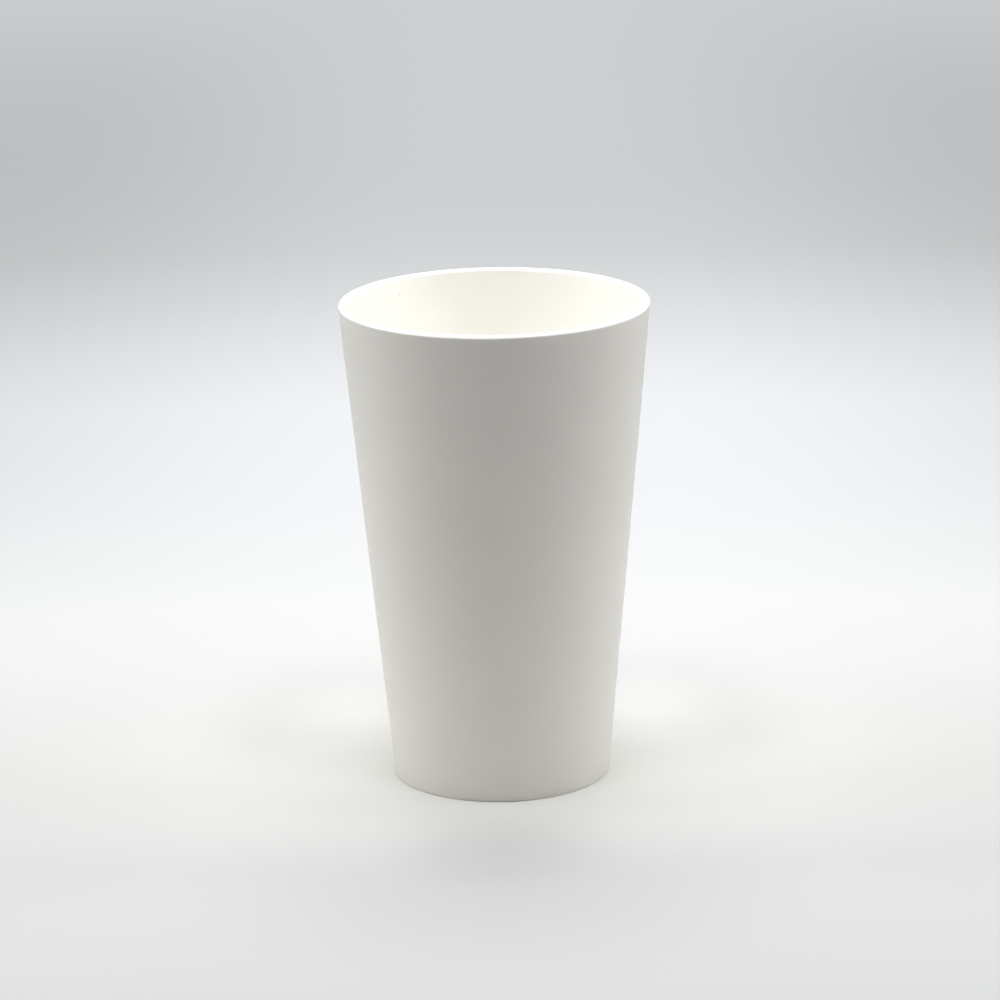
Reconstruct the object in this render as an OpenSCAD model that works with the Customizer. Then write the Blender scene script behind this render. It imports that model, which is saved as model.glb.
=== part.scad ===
// Tapered drinking cup, moulded in one piece: a plain straight wall, a full-round lip, a flat floor
// and a foot ring round a recessed underside. It is a solid of revolution about Z, in millimetres,
// standing on the plane z = 0.

/* [Body] */
// Outer diameter across the lip
lip_d = 90; // [75:0.5:110]
// Outer diameter where the wall's line meets the table, before the foot's edge is rounded
base_d = 63.5; // [50:0.5:70]
// Height from the table to the top of the lip
height = 142; // [80:1:200]
// Thickness of the side wall, square to its face, which the lip rounds over
wall_t = 2.1; // [1.2:0.1:3.5]

/* [Floor] */
// Thickness of the floor
floor_t = 2.4; // [1.4:0.1:5]
// Radius of the corner between the floor and the wall, inside the cup
floor_corner_r = 4; // [0.5:0.5:10]

/* [Foot] */
// Depth of the recess between the table and the underside of the floor
recess_h = 2.6; // [1.5:0.1:8]
// Width of the foot ring at the table, before its edges are rounded
foot_w = 2.4; // [1.8:0.1:6]
// Lean of the recess's side, in degrees, so that it slips off the mould
recess_draft = 4; // [0:0.5:10]
// Radius of the corner between the recess's side and the underside
recess_corner_r = 0.9; // [0.2:0.1:1.2]
// Radius of the foot's outer edge
foot_outer_r = 0.3; // [0.1:0.05:1]
// Radius of the foot's inner edge
foot_inner_r = 0.4; // [0.1:0.05:0.6]

/* [Moulding gate] */
// Diameter of the shallow dish in the underside that keeps the gate's stub off the table
dish_d = 9; // [5:0.5:16]
// Depth of the dish
dish_h = 0.5; // [0.2:0.1:1]
// Diameter of the stub left by the gate
stub_d = 2.4; // [1:0.1:4]
// Height of the stub
stub_h = 0.4; // [0.1:0.1:0.9]

/* [Smoothness] */
// Straight steps in a quarter turn of a rounded edge
edge_steps = 8; // [4:1:16]
// Sides drawn round the cup
round_sides = 180; // [48:12:360]

/* [Hidden] */

base_r = base_d / 2;

// The lip's round touches the top plane, the lip's outer diameter and both faces of the wall
lip_r = wall_t / 2;
lip_c = [lip_d / 2 - lip_r, height - lip_r];

// Lean of the wall's outer line, which starts at base_r on the table and passes lip_r outside lip_c
foot_to_lip = lip_c - [base_r, 0];
wall_lean = atan2(foot_to_lip.x, foot_to_lip.y) + asin(lip_r / norm(foot_to_lip));

floor_z = recess_h + floor_t;

// Radius, at the height z, of a line that runs beside the wall's outer face, out from it
function wall_line_r(z, out) = base_r + z * tan(wall_lean) + out / cos(wall_lean);

// Radius of the recess's side at the height z
function recess_r(z) = base_r - foot_w - z * tan(recess_draft);

// Points on a circle from the angle a0 to the angle a1
function arc(c, r, a0, a1) =
    let (n = max(2, ceil(edge_steps * abs(a1 - a0) / 90)))
    [for (i = [0:n]) let (a = a0 + (a1 - a0) * i / n) c + r * [cos(a), sin(a)]];

// From the axis out over the gate's stub and dish
function gate_mark() = [
    [0, recess_h + dish_h - stub_h],
    [stub_d / 2, recess_h + dish_h - stub_h],
    [stub_d / 2, recess_h + dish_h],
    [dish_d / 2, recess_h + dish_h],
    [dish_d / 2, recess_h]
];

// Down the recess's side and round the foot ring, which stands on its flat middle
function foot_ring() =
    let (
        corner_z = recess_h - recess_corner_r,
        corner_c = [recess_r(corner_z) - recess_corner_r / cos(recess_draft), corner_z],
        inner_c = [recess_r(foot_inner_r) + foot_inner_r / cos(recess_draft), foot_inner_r],
        outer_c = [wall_line_r(foot_outer_r, -foot_outer_r), foot_outer_r]
    )
    concat(
        arc(corner_c, recess_corner_r, 90, recess_draft),
        arc(inner_c, foot_inner_r, 180 + recess_draft, 270),
        arc(outer_c, foot_outer_r, -90, -wall_lean)
    );

// Over the lip, from the wall's outer face to its inner face
function lip() = arc(lip_c, lip_r, -wall_lean, 180 - wall_lean);

// Down to the floor's corner and along the floor to the axis
function inside() =
    let (
        corner_z = floor_z + floor_corner_r,
        corner_c = [wall_line_r(corner_z, -wall_t - floor_corner_r), corner_z]
    )
    concat(arc(corner_c, floor_corner_r, -wall_lean, -90), [[0, floor_z]]);

module cup() {
    color("whitesmoke")
        rotate_extrude($fn = round_sides)
            polygon(concat(gate_mark(), foot_ring(), lip(), inside()));
}

cup();
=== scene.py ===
"""A tapered drinking cup, moulded in one piece, dressed for a soft studio picture."""
import logging
import math
from dataclasses import dataclass
from enum import Enum

import bpy
import numpy as np
from mathutils import Matrix, Vector


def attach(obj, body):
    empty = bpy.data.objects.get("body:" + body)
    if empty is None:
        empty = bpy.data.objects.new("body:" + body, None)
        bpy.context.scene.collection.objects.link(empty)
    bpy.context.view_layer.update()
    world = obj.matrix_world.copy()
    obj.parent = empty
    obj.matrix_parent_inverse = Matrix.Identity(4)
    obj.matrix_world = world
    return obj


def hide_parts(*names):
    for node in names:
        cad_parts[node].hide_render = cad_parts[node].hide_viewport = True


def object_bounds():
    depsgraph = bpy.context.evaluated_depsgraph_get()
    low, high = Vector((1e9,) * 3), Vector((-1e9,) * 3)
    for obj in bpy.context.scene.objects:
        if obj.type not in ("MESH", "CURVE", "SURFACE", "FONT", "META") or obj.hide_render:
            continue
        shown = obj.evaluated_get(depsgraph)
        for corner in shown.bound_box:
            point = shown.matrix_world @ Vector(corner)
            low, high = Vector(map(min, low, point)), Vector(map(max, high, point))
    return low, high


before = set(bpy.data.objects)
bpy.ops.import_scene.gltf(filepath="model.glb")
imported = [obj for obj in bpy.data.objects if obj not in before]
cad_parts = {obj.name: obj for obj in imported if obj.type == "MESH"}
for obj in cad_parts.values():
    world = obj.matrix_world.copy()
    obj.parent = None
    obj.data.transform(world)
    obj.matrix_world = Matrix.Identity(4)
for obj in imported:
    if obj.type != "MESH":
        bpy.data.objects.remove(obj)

CAD_LOW, CAD_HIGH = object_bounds()

log = logging.getLogger("cup")

Colour = tuple[float, float, float]
Point = tuple[float, float, float]
Stops = tuple[tuple[float, Colour], ...]

BLACK: Colour = (0.0, 0.0, 0.0)
WHITE: Colour = (1.0, 1.0, 1.0)
NOISE_MEAN = 0.5


class Face(Enum):
    """The face of the wall that a mark lies on."""

    OUTSIDE = "outside"
    INSIDE = "inside"


class Wire:
    """One output of a shader node, so that shader maths reads as a Python expression."""

    def __init__(self, bench: "NodeBench", socket: bpy.types.NodeSocket) -> None:
        """Holds the socket.

        Args:
            bench: the bench whose tree the socket is in.
            socket: an output socket. Maths is for one that carries a single number for each point.
        """
        self.bench = bench
        self.socket = socket

    def maths(self, operation: str, *others: "Wire | float", flip: bool = False) -> "Wire":
        """Adds a Math node on this wire.

        Args:
            operation: the Math node's operation.
            others: the node's other values.
            flip: True where this wire is the second value and not the first.

        Returns:
            The node's result.
        """
        values = [self, *others]
        if flip:
            values.reverse()
        return self.bench.node("ShaderNodeMath", {"operation": operation}, dict(enumerate(values)))

    def __add__(self, other: "Wire | float") -> "Wire":
        """This plus the other."""
        return self.maths("ADD", other)

    __radd__ = __add__

    def __sub__(self, other: "Wire | float") -> "Wire":
        """This less the other."""
        return self.maths("SUBTRACT", other)

    def __rsub__(self, other: float) -> "Wire":
        """The other less this."""
        return self.maths("SUBTRACT", other, flip=True)

    def __mul__(self, other: "Wire | float") -> "Wire":
        """This times the other."""
        return self.maths("MULTIPLY", other)

    __rmul__ = __mul__


class NodeBench:
    """Adds nodes to one material's or world's tree."""

    def __init__(self, tree: bpy.types.NodeTree) -> None:
        """Empties the tree.

        Args:
            tree: the tree to fill.
        """
        self.tree = tree
        tree.nodes.clear()

    def node(
        self, kind: str, settings: dict | None = None, sockets: dict | None = None, result: int | str = 0
    ) -> Wire | None:
        """Adds a node.

        Args:
            kind: the node's type.
            settings: its settings by name, where stops holds a ramp's places and colours.
            sockets: a value or a wire for each input, by the input's name or number.
            result: the name or number of the output that is wanted.

        Returns:
            That output, or None where the node has none.
        """
        node = self.tree.nodes.new(kind)
        for name, value in (settings or {}).items():
            if name == "stops":
                self.set_stops(node.color_ramp, value)
            else:
                setattr(node, name, value)
        for name, value in (sockets or {}).items():
            socket = self.find(node.inputs, name)
            if isinstance(value, Wire):
                self.tree.links.new(value.socket, socket)
            else:
                socket.default_value = value
        return Wire(self, self.find(node.outputs, result)) if node.outputs else None

    @staticmethod
    def find(sockets: bpy.types.bpy_prop_collection, name: int | str) -> bpy.types.NodeSocket:
        """Finds a socket.

        Args:
            sockets: a node's inputs or outputs.
            name: its number, its identifier or its name, which are tried in that order.

        Returns:
            The socket.
        """
        if isinstance(name, int):
            return sockets[name]
        return next((s for s in sockets if s.identifier == name), None) or sockets[name]

    @staticmethod
    def set_stops(ramp: bpy.types.ColorRamp, stops: Stops) -> None:
        """Gives a ramp its stops.

        Args:
            ramp: the ramp, which starts with two stops.
            stops: each stop's place and colour, in order.
        """
        while len(ramp.elements) < len(stops):
            ramp.elements.new(1.0)
        for element, (place, colour) in zip(ramp.elements, stops):
            element.position = place
            element.color = (*colour, 1.0)

    def step(self, value: Wire, low: float, high: float) -> Wire:
        """A smooth step that goes from 0 at low to 1 at high.

        Args:
            value: the wire that drives it.
            low: the value that gives 0.
            high: the value that gives 1.

        Returns:
            The step.
        """
        return self.node(
            "ShaderNodeMapRange",
            {"interpolation_type": "SMOOTHSTEP"},
            {"Value": value, "From Min": low, "From Max": high},
        )

    def blend(self, share: Wire | float, first: Wire | Colour, second: Wire | Colour) -> Wire:
        """Mixes two colours.

        Args:
            share: 0 for the first colour and 1 for the second.
            first: a colour.
            second: another colour.

        Returns:
            The mixed colour.
        """
        first, second = (c if isinstance(c, Wire) else (*c, 1.0) for c in (first, second))
        sockets = {"Factor_Float": share, "A_Color": first, "B_Color": second}
        return self.node("ShaderNodeMix", {"data_type": "RGBA"}, sockets, "Result_Color")

    def length(self, vector: Wire) -> Wire:
        """The length of a vector."""
        return self.node("ShaderNodeVectorMath", {"operation": "LENGTH"}, {0: vector}, "Value")

    def oval(
        self, place: Wire, centre: Point, half: Point, core: float, turn: Point = (0.0, 0.0, 0.0)
    ) -> Wire:
        """1 inside the core of a soft oval and 0 outside its edge.

        The place is moved to the oval's centre, turned back and divided by the oval's half sizes, so that
        its edge lies at a length of 1.

        Args:
            place: the piece's object coordinates.
            centre: the oval's centre.
            half: its half sizes along its own axes.
            core: the length, as a share of the edge's, within which it is whole.
            turn: its turn, as Euler angles.

        Returns:
            The oval.
        """
        sockets = {"Vector": place, "Location": centre, "Rotation": turn, "Scale": half}
        local = self.node("ShaderNodeMapping", {"vector_type": "TEXTURE"}, sockets)
        return self.step(self.length(local), 1.0, core)


@dataclass(frozen=True)
class CupForm:
    """The cup's section and the surface that it sweeps round the axis. Lengths are in metres."""

    lip_radius: float = CAD_HIGH.x
    height: float = CAD_HIGH.z
    foot_line_radius: float = 0.03175
    wall: float = 0.0021
    floor: float = 0.0024
    floor_corner: float = 0.004
    recess: float = 0.0026
    foot_width: float = 0.0024
    recess_draft: float = math.radians(4)
    recess_corner: float = 0.0009
    foot_outer_round: float = 0.0003
    foot_inner_round: float = 0.0004
    dish_radius: float = 0.0045
    dish_depth: float = 0.0005
    stub_radius: float = 0.0012
    stub_height: float = 0.0004
    sides: int = 384
    arc_step: float = math.radians(5)
    wall_rows: int = 48
    sharp_angle: float = math.radians(40)

    @property
    def lip_round(self) -> float:
        """Radius of the lip's round, which touches both faces of the wall."""
        return self.wall / 2

    @property
    def lip_centre(self) -> np.ndarray:
        """Centre of the lip's round, as radius and height."""
        return np.array([self.lip_radius - self.lip_round, self.height - self.lip_round])

    @property
    def lean(self) -> float:
        """Angle by which the wall leans out."""
        out, up = self.lip_centre - [self.foot_line_radius, 0.0]
        return math.atan2(out, up) + math.asin(self.lip_round / math.hypot(out, up))

    @property
    def floor_top(self) -> float:
        """Height of the floor's upper face."""
        return self.recess + self.floor

    def wall_line(self, height: float | np.ndarray, out: float) -> float | np.ndarray:
        """Radius of a line beside the wall's outer face.

        Args:
            height: one or more heights above the table.
            out: distance from the wall's outer face, positive outside the cup.

        Returns:
            The line's radius at each height.
        """
        return self.foot_line_radius + height * math.tan(self.lean) + out / math.cos(self.lean)

    def recess_line(self, height: float) -> float:
        """Radius of the recess's side at a height above the table."""
        return self.foot_line_radius - self.foot_width - height * math.tan(self.recess_draft)

    def arc(self, centre: tuple[float, float], radius: float, start: float, end: float) -> np.ndarray:
        """Points centre + radius (cos a, sin a), with a in even steps from start to end.

        Args:
            centre: the arc's centre, as radius and height.
            radius: the arc's radius.
            start: the first angle.
            end: the last angle.

        Returns:
            One row of radius and height for each point.
        """
        count = 1 + max(2, math.ceil(abs(end - start) / self.arc_step))
        angle = np.linspace(start, end, count)
        return np.asarray(centre) + radius * np.column_stack([np.cos(angle), np.sin(angle)])

    def gate_mark(self) -> np.ndarray:
        """The underside from the axis out, over the gate's stub and the dish that holds it.

        Returns:
            One row of radius and height for each corner.
        """
        roof = self.recess + self.dish_depth
        stub = roof - self.stub_height
        return np.array([
            [0.0, stub],
            [self.stub_radius, stub],
            [self.stub_radius, roof],
            [self.dish_radius, roof],
            [self.dish_radius, self.recess],
        ])

    def foot_ring(self) -> np.ndarray:
        """Down the recess's side, under the foot's flat middle and up round its outer edge.

        Its three rounds are arcs whose centres lie their own radius inside the lines that they join.

        Returns:
            One row of radius and height for each point.
        """
        draft = self.recess_draft
        corner_up = self.recess - self.recess_corner
        corner = (self.recess_line(corner_up) - self.recess_corner / math.cos(draft), corner_up)
        inner_r, outer_r = self.foot_inner_round, self.foot_outer_round
        inner = (self.recess_line(inner_r) + inner_r / math.cos(draft), inner_r)
        outer = (self.wall_line(outer_r, -outer_r), outer_r)
        return np.vstack([
            self.arc(corner, self.recess_corner, math.pi / 2, draft),
            self.arc(inner, inner_r, math.pi + draft, 1.5 * math.pi),
            self.arc(outer, outer_r, -math.pi / 2, -self.lean),
        ])

    def outer_wall(self) -> np.ndarray:
        """The straight outer face between the foot's edge and the lip, in even steps without its two ends.

        Returns:
            One row of radius and height for each point.
        """
        low = self.foot_outer_round * (1 - math.sin(self.lean))
        high = self.lip_centre[1] - self.lip_round * math.sin(self.lean)
        up = np.linspace(low, high, self.wall_rows)[1:-1]
        return np.column_stack([self.wall_line(up, 0.0), up])

    def lip(self) -> np.ndarray:
        """The full round from the wall's outer face over to its inner face."""
        return self.arc(self.lip_centre, self.lip_round, -self.lean, math.pi - self.lean)

    def inside(self) -> np.ndarray:
        """Down the inner face in even steps, round the floor's corner and along the floor to the axis.

        Returns:
            One row of radius and height for each point.
        """
        corner_up = self.floor_top + self.floor_corner
        corner = (self.wall_line(corner_up, -self.wall - self.floor_corner), corner_up)
        high = self.lip_centre[1] + self.lip_round * math.sin(self.lean)
        low = corner_up - self.floor_corner * math.sin(self.lean)
        up = np.linspace(high, low, self.wall_rows)[1:-1]
        return np.vstack([
            np.column_stack([self.wall_line(up, -self.wall), up]),
            self.arc(corner, self.floor_corner, -self.lean, -math.pi / 2),
            [[0.0, self.floor_top]],
        ])

    def section(self) -> np.ndarray:
        """The whole half section, from the underside's middle to the floor's middle inside."""
        return np.vstack([self.gate_mark(), self.foot_ring(), self.outer_wall(), self.lip(), self.inside()])

    def surface(self, name: str) -> bpy.types.Object:
        """Turns the section round the axis.

        The point (r, z) of the section goes to (r cos a, r sin a, z) for each angle a. The two ends of the
        section lie on the axis, so each is one vertex with a fan of triangles.

        Args:
            name: the object's name.

        Returns:
            The closed surface, faces outwards.
        """
        section = self.section()
        rings = section[1:-1]
        angle = np.arange(self.sides) * 2 * math.pi / self.sides
        turned = np.stack([
            np.outer(rings[:, 0], np.cos(angle)),
            np.outer(rings[:, 0], np.sin(angle)),
            np.repeat(rings[:, 1:2], self.sides, axis=1),
        ], axis=-1).reshape(-1, 3)
        poles = np.array([[0.0, 0.0, section[0, 1]], [0.0, 0.0, section[-1, 1]]])
        points = np.vstack([turned, poles])

        here = np.arange(self.sides)
        beside = (here + 1) % self.sides
        row = np.arange(len(rings) - 1)[:, None] * self.sides
        next_row = row + self.sides
        quads = np.stack([row + here, row + beside, next_row + beside, next_row + here], axis=-1)
        last_row = (len(rings) - 1) * self.sides
        under = np.stack([np.full_like(here, len(turned)), beside, here], axis=-1)
        over = np.stack([np.full_like(here, len(turned) + 1), last_row + here, last_row + beside], axis=-1)

        mesh = bpy.data.meshes.new(name)
        mesh.from_pydata(points, [], quads.reshape(-1, 4).tolist() + under.tolist() + over.tolist())
        mesh.shade_smooth()
        mesh.set_sharp_from_angle(angle=self.sharp_angle)
        mesh.update()
        piece = bpy.data.objects.new(name, mesh)
        bpy.context.scene.collection.objects.link(piece)
        return piece


@dataclass(frozen=True)
class Mark:
    """A small speck or scratch on the wall. Lengths are in metres and angles in degrees.

    Its azimuth is 0 towards the camera and 90 towards +X, and its depth is how far it reaches to either side
    of the wall's face.
    """

    face: Face
    azimuth: float
    height: float
    width: float
    length: float
    lean: float
    strength: float
    depth: float = 0.0006
    core: float = 0.35

    def mask(self, bench: NodeBench, place: Wire, form: CupForm) -> Wire:
        """How strongly the mark shows: its strength in its middle, and 0 outside its oval on the wall.

        Args:
            bench: the bench of the cup's material.
            place: the piece's object coordinates.
            form: the cup that the mark is on.

        Returns:
            The mask.
        """
        out = 0.0 if self.face is Face.OUTSIDE else -form.wall
        radius = form.wall_line(self.height, out)
        turn = math.radians(self.azimuth)
        centre = (radius * math.sin(turn), -radius * math.cos(turn), self.height)
        wall = Matrix.Rotation(turn, 3, "Z") @ Matrix.Rotation(form.lean, 3, "X")
        tilt = Matrix.Rotation(math.radians(self.lean), 3, "Y")
        half = (self.width / 2, self.depth, self.length / 2)
        return bench.oval(place, centre, half, self.core, (wall @ tilt).to_euler("XYZ")) * self.strength


@dataclass(frozen=True)
class SatinPlastic:
    """Warm white moulded plastic with a fine satin grain. Scales are in waves for each metre."""

    colour: Colour = (0.94, 0.93, 0.88)
    mark_colour: Colour = (0.2, 0.17, 0.14)
    flow_shade: float = 0.985
    flow_scale: float = 26.0
    flow_low: float = 0.35
    flow_high: float = 0.65
    roughness: float = 0.46
    roughness_spread: float = 0.06
    grain_scale: float = 1900.0
    ripple_scale: float = 170.0
    cloud_detail: float = 2.0
    ripple_detail: float = 1.0
    grain_height: float = 0.000012
    ripple_height: float = 0.00002
    refraction: float = 1.49
    glow_method: str = "BURLEY"
    glow_share: float = 1.0
    glow_reach: Colour = (1.0, 0.92, 0.8)
    glow_depth: float = 0.0008

    def material(self, name: str, marks: tuple[Mark, ...], form: CupForm) -> bpy.types.Material:
        """Builds the plastic.

        The colour drifts a little along soft clouds, as the melt flowed, and darkens at each mark. The
        roughness drifts with finer clouds. The bump is a slow ripple with a fine grain on it.

        Args:
            name: the material's name.
            marks: the specks and scratches on the wall.
            form: the cup that they are on.

        Returns:
            The material.
        """
        material = bpy.data.materials.new(name)
        material.use_nodes = True
        bench = NodeBench(material.node_tree)
        place = bench.node("ShaderNodeTexCoord", result="Object")
        clouds, ripple, grain = (
            bench.node("ShaderNodeTexNoise", None, {"Vector": place, "Scale": scale, "Detail": detail})
            for scale, detail in (
                (self.flow_scale, self.cloud_detail),
                (self.ripple_scale, self.ripple_detail),
                (self.grain_scale, self.cloud_detail),
            )
        )
        flow = bench.step(clouds, self.flow_low, self.flow_high)
        shaded = tuple(c * self.flow_shade for c in self.colour)
        colour = bench.blend(flow, self.colour, shaded)
        for mark in marks:
            colour = bench.blend(mark.mask(bench, place, form), colour, self.mark_colour)
        height = ripple * self.ripple_height + grain * self.grain_height
        bump = bench.node("ShaderNodeBump", None, {"Height": height, "Distance": 1.0, "Strength": 1.0})
        rough = self.roughness + (ripple - NOISE_MEAN) * self.roughness_spread
        shader = bench.node("ShaderNodeBsdfPrincipled", {"subsurface_method": self.glow_method}, {
            "Base Color": colour,
            "Roughness": rough,
            "IOR": self.refraction,
            "Normal": bump,
            "Subsurface Weight": self.glow_share,
            "Subsurface Radius": self.glow_reach,
            "Subsurface Scale": self.glow_depth,
        })
        bench.node("ShaderNodeOutputMaterial", None, {"Surface": shader})
        return material


@dataclass(frozen=True)
class Cup:
    """The cup: one closed shell, its finish and the marks on it."""

    form: CupForm = CupForm()
    finish: SatinPlastic = SatinPlastic()
    # Each mark's face, azimuth, height, width, length, lean and strength
    marks: tuple[Mark, ...] = (
        Mark(Face.INSIDE, -138.9, 0.1372, 0.0004, 0.0014, 0.0, 0.35),
        Mark(Face.OUTSIDE, 56.3, 0.0575, 0.0007, 0.0007, 0.0, 0.2),
        Mark(Face.OUTSIDE, 47.1, 0.0682, 0.0006, 0.0008, 0.0, 0.2),
        Mark(Face.OUTSIDE, -52.7, 0.1002, 0.0007, 0.0006, 0.0, 0.2),
        Mark(Face.OUTSIDE, 30.4, 0.1326, 0.0003, 0.006, 35.0, 0.06),
    )

    def build(self) -> bpy.types.Object:
        """Makes the shell, dresses it and puts it in the place of the frame's node.

        Returns:
            The finished piece.
        """
        piece = self.form.surface("cup_shell")
        finish = self.finish.material("satin_white_plastic", self.marks, self.form)
        piece.data.materials.append(finish)
        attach(piece, "root")
        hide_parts("cup")
        return piece


@dataclass(frozen=True)
class PaintedFloorShading:
    """A soft oval of painted shade or painted light on the floor, darker or lighter than the floor round it.
    Lengths are in metres.
    """

    centre: Point
    half: Point
    core: float
    strength: float
    tone: Colour = BLACK

    def mask(self, bench: NodeBench, place: Wire) -> Wire:
        """How much of the floor's colour gives way to the tone at each place.

        Args:
            bench: the bench of the floor's material.
            place: the floor's object coordinates.

        Returns:
            The mask.
        """
        return bench.oval(place, self.centre, self.half, self.core) * self.strength


@dataclass(frozen=True)
class Studio:
    """The pale floor, with painted light and shade on it, and the plain grey that it fades to. Lengths are
    in metres.
    """

    floor_radius: float = 8.0
    floor_sides: int = 128
    pool_stretch: Point = (1.0, 2.5, 1.0)
    pool_radius: float = 2.5
    # A painted pool of light: the floor's seen colour falls off with the stretched distance from the cup
    painted_light_pool_stops: Stops = (
        (0.026, (0.656, 0.659, 0.633)),
        (0.04, (0.598, 0.601, 0.583)),
        (0.06, (0.57, 0.574, 0.565)),
        (0.09, (0.554, 0.559, 0.554)),
        (0.17, (0.574, 0.578, 0.578)),
        (0.29, (0.546, 0.557, 0.566)),
        (0.44, (0.535, 0.547, 0.559)),
        (0.53, (0.494, 0.504, 0.513)),
        (0.62, (0.447, 0.457, 0.465)),
        (0.74, (0.405, 0.415, 0.417)),
    )
    # Each painted shadow's or painted light's centre, half sizes, core, strength and tone
    painted_shading: tuple[PaintedFloorShading, ...] = (
        # Painted shade over the floor in front of the cup
        PaintedFloorShading((0.0, -0.5, 0.0), (3.0, 0.46, 1.0), 0.89, 0.055),
        PaintedFloorShading((0.0, -0.5, 0.0), (3.0, 0.41, 1.0), 0.68, 0.05),
        # Painted shadow of the cup just in front of its foot
        PaintedFloorShading((0.0, -0.085, 0.0), (0.1, 0.1, 1.0), 0.0, 0.1),
        PaintedFloorShading((0.0, -0.058, 0.0), (0.042, 0.055, 1.0), 0.0, 0.16),
        # Painted light beside the foot, where the lamps cast shade
        PaintedFloorShading((-0.038, 0.04, 0.0), (0.04, 0.07, 1.0), 0.0, 0.27, WHITE),
        PaintedFloorShading((0.038, 0.04, 0.0), (0.04, 0.07, 1.0), 0.0, 0.3, WHITE),
    )
    # Painted shade on the floor and the backdrop at the sides, behind the cup
    side_centre: float = 0.015
    side_shade: float = 0.16
    side_start: float = 0.04
    side_end: float = 0.27
    shade_back_start: float = 0.0
    shade_back_end: float = 0.4
    shade_fade_start: float = 2.5
    shade_fade_end: float = 4.3
    # A painted pool of light for what the floor throws back onto the cup: brightest near the cup
    bounce_radius: float = 0.5
    painted_bounce_light_stops: Stops = (
        (0.2, (0.46, 0.438, 0.422)),
        (0.6, (0.18, 0.175, 0.17)),
    )
    backdrop: Colour = (0.605, 0.621, 0.634)
    fade_start: float = 1.5
    fade_end: float = 2.5
    roughness: float = 0.9

    def seen(self, bench: NodeBench) -> Wire:
        """1 for rays that come from the camera, a reflection or a transmission, and 0 for the rest.

        Args:
            bench: the bench of the material or world.

        Returns:
            The switch.
        """
        rays = ("Is Camera Ray", "Is Glossy Ray", "Is Transmission Ray")
        camera, glossy, through = (bench.node("ShaderNodeLightPath", result=r) for r in rays)
        return camera.maths("MAXIMUM", glossy).maths("MAXIMUM", through)

    def apart(self, bench: NodeBench, place: Wire) -> Wire:
        """Distance from the cup's axis, with Y stretched, so that equal distances are ovals wide in X.

        Args:
            bench: the bench of the floor's material.
            place: the floor's object coordinates.

        Returns:
            The distance.
        """
        sockets = {0: place, 1: self.pool_stretch}
        return bench.length(bench.node("ShaderNodeVectorMath", {"operation": "MULTIPLY"}, sockets))

    def painted_side_shade(self, bench: NodeBench, place: Wire, apart: Wire) -> Wire:
        """The painted shade on the floor and the backdrop to the left and right, behind the cup: how much
        darker they are.

        Args:
            bench: the bench of the floor's material.
            place: the floor's object coordinates.
            apart: the stretched distance.

        Returns:
            The share of the colour that is taken away.
        """
        across = bench.node("ShaderNodeSeparateXYZ", None, {0: place}, "X") - self.side_centre
        along = bench.node("ShaderNodeSeparateXYZ", None, {0: place}, "Y")
        sides = bench.step(across.maths("ABSOLUTE"), self.side_start, self.side_end)
        behind = bench.step(along, self.shade_back_start, self.shade_back_end)
        near = bench.step(apart, self.shade_fade_end, self.shade_fade_start)
        return sides * behind * near * self.side_shade

    def ramp(self, bench: NodeBench, stops: Stops, distance: Wire, radius: float) -> Wire:
        """Colours that follow a distance.

        Args:
            bench: the bench of the floor's material.
            stops: the colours and their places, as shares of the radius.
            distance: the distance.
            radius: the distance at which the ramp ends.

        Returns:
            The colour.
        """
        return bench.node("ShaderNodeValToRGB", {"stops": stops}, {"Fac": distance * (1 / radius)})

    def floor_material(self) -> bpy.types.Material:
        """Makes the floor's finish.

        The colour that is seen is painted light pooled round the cup, which grows darker far away, where it
        gives way to the plain backdrop, with painted shade at the sides and in front of the cup, a painted
        shadow of the cup just in front of its foot, and painted light beside the foot. Light that falls on
        the cup from the floor leaves it by the colour that light bounces off, which is darker and painted
        brightest near the cup, so that the floor looks white without lighting the cup more.

        Returns:
            The material.
        """
        material = bpy.data.materials.new("pale_floor")
        material.use_nodes = True
        bench = NodeBench(material.node_tree)
        place = bench.node("ShaderNodeTexCoord", result="Object")
        apart = self.apart(bench, place)
        painted_dark = self.painted_side_shade(bench, place, apart)
        # Painted light pooled round the cup, less the painted shade at the sides
        painted_floor_light = bench.blend(painted_dark, self.ramp(bench, self.painted_light_pool_stops, apart, self.pool_radius), BLACK)
        # Painted shadows and painted light in soft ovals
        for shade in self.painted_shading:
            painted_floor_light = bench.blend(shade.mask(bench, place), painted_floor_light, shade.tone)
        # Painted light for what the floor throws back onto the cup, brightest near it
        painted_bounce_light = self.ramp(bench, self.painted_bounce_light_stops, bench.length(place), self.bounce_radius)
        seen = self.seen(bench)
        colour = bench.blend(seen, painted_bounce_light, painted_floor_light)
        lit = bench.node("ShaderNodeBsdfDiffuse", None, {"Color": colour, "Roughness": self.roughness})
        # The plain backdrop, with the same painted side shade
        grey = bench.blend(painted_dark, self.backdrop, BLACK)
        plain = bench.node("ShaderNodeEmission", None, {"Color": grey, "Strength": 1.0})
        share = bench.step(apart, self.fade_start, self.fade_end) * seen
        mixed = bench.node("ShaderNodeMixShader", None, {0: share, 1: lit, 2: plain})
        bench.node("ShaderNodeOutputMaterial", None, {"Surface": mixed})
        return material

    def floor(self) -> bpy.types.Object:
        """Makes the round floor, a single flat face.

        Returns:
            The floor.
        """
        angle = np.arange(self.floor_sides) * 2 * math.pi / self.floor_sides
        rim = self.floor_radius * np.column_stack([np.cos(angle), np.sin(angle), np.zeros_like(angle)])
        mesh = bpy.data.meshes.new("floor")
        mesh.from_pydata(rim, [], [list(range(self.floor_sides))])
        mesh.materials.append(self.floor_material())
        piece = bpy.data.objects.new("floor", mesh)
        bpy.context.scene.collection.objects.link(piece)
        return piece

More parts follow.
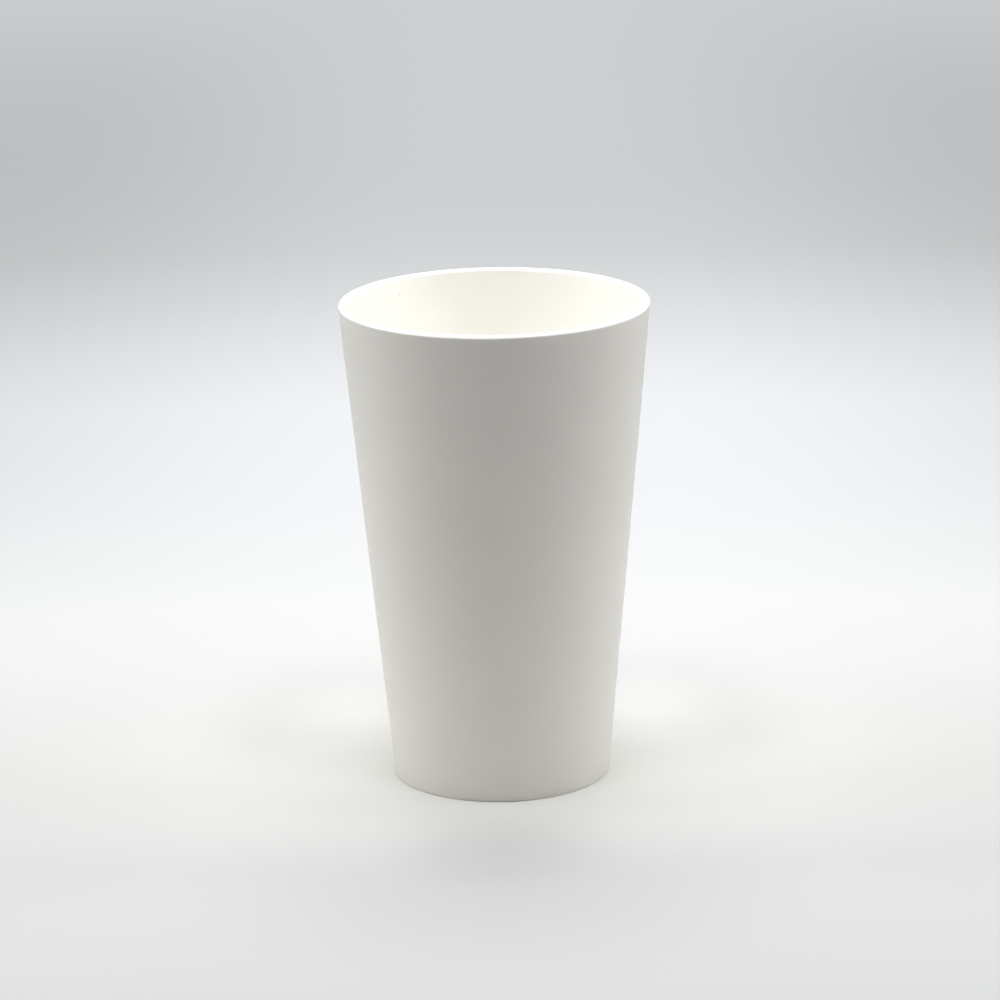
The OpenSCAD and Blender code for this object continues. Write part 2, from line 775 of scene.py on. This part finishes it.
    def world(self) -> bpy.types.World:
        """Makes the world: the plain backdrop where it is seen or reflected, and black for other light.

        Returns:
            The world.
        """
        world = bpy.data.worlds.new("studio")
        world.use_nodes = True
        bench = NodeBench(world.node_tree)
        colour = bench.blend(self.seen(bench), BLACK, self.backdrop)
        sky = bench.node("ShaderNodeBackground", None, {"Color": colour, "Strength": 1.0})
        bench.node("ShaderNodeOutputWorld", None, {"Surface": sky})
        bpy.context.scene.world = world
        return world


@dataclass(frozen=True)
class SoftBox:
    """A rectangular lamp that faces a point. Lengths are in metres and angles in degrees."""

    name: str
    azimuth: float
    elevation: float
    distance: float
    width: float
    depth: float
    watts: float
    aim: Point = (0.0, 0.0, 0.07)

    def build(self) -> bpy.types.Object:
        """Hangs the lamp at its azimuth, which is 0 towards the camera and 90 towards +X, and aims it.

        Returns:
            The lamp.
        """
        turn, rise = math.radians(self.azimuth), math.radians(self.elevation)
        away = Vector((math.sin(turn) * math.cos(rise), -math.cos(turn) * math.cos(rise), math.sin(rise)))
        data = bpy.data.lights.new(self.name, "AREA")
        data.shape = "RECTANGLE"
        data.size, data.size_y = self.width, self.depth
        data.energy = self.watts
        lamp = bpy.data.objects.new(self.name, data)
        lamp.location = Vector(self.aim) + away * self.distance
        lamp.rotation_mode = "QUATERNION"
        lamp.rotation_quaternion = away.to_track_quat("Z", "Y")
        lamp.visible_camera = False
        bpy.context.scene.collection.objects.link(lamp)
        return lamp


@dataclass(frozen=True)
class PhotoCamera:
    """The photograph's viewpoint, from a pinhole fitted to the cup's outline. Angles are in degrees."""

    focal_px: float = 4145.7
    frame_px: float = 1000.0
    sensor_mm: float = 36.0
    distance: float = 1.2145
    elevation: float = 16.038
    roll: float = -0.984
    pan: float = -0.033
    tilt: float = 0.508

    def build(self, aim: Vector) -> bpy.types.Object:
        """Sets the camera up and makes it the scene's.

        The camera stands off the aim by its distance at its elevation, then turns by its pan, tilt and
        roll.

        Args:
            aim: the point on the cup's axis at half its height.

        Returns:
            The camera.
        """
        rise = math.radians(self.elevation)
        right = Vector((1.0, 0.0, 0.0))
        upward = Vector((0.0, math.sin(rise), math.cos(rise)))
        back = Vector((0.0, -math.cos(rise), math.sin(rise)))
        level = Matrix((right, upward, back)).transposed()
        turn = (
            Matrix.Rotation(math.radians(self.pan), 3, "Y")
            @ Matrix.Rotation(math.radians(self.tilt), 3, "X")
            @ Matrix.Rotation(math.radians(self.roll), 3, "Z")
        )
        data = bpy.data.cameras.new("camera")
        data.sensor_width = self.sensor_mm
        data.lens = self.focal_px / self.frame_px * self.sensor_mm
        camera = bpy.data.objects.new("camera", data)
        camera.matrix_world = Matrix.Translation(aim + back * self.distance) @ (level @ turn).to_4x4()
        bpy.context.scene.collection.objects.link(camera)
        bpy.context.scene.camera = camera
        return camera


# Each lamp's name, azimuth, elevation, distance, width, depth and power
LAMPS = (
    SoftBox("lamp_front", 0.0, 80.0, 1.6, 1.1, 0.9, 36.0),
    SoftBox("lamp_back", 180.0, 52.0, 1.6, 0.85, 0.7, 6.5),
    SoftBox("lamp_left", -97.0, 35.0, 1.6, 1.1, 0.9, 11.3),
    SoftBox("lamp_right", 97.0, 35.0, 1.6, 1.1, 0.9, 11.3),
    SoftBox("lamp_low_left", -112.0, 20.0, 1.6, 1.1, 0.9, 3.6),
    SoftBox("lamp_low_right", 112.0, 20.0, 1.6, 1.1, 0.9, 3.6),
)


def main() -> None:
    """Builds the camera, the cup, the studio and its lamps, and reports each of them."""
    logging.basicConfig(level=logging.INFO, format="%(name)s: %(message)s")
    bpy.context.scene.view_settings.view_transform = "Standard"
    camera = PhotoCamera().build((CAD_LOW + CAD_HIGH) / 2)
    log.info("%s with a %.1f mm lens", camera.name, camera.data.lens)
    piece = Cup().build()
    log.info("%s with %d faces", piece.name, len(piece.data.polygons))
    studio = Studio()
    for part in (studio.floor(), studio.world(), *(lamp.build() for lamp in LAMPS)):
        log.info("%s", part.name)


if __name__ == "__main__":
    main()
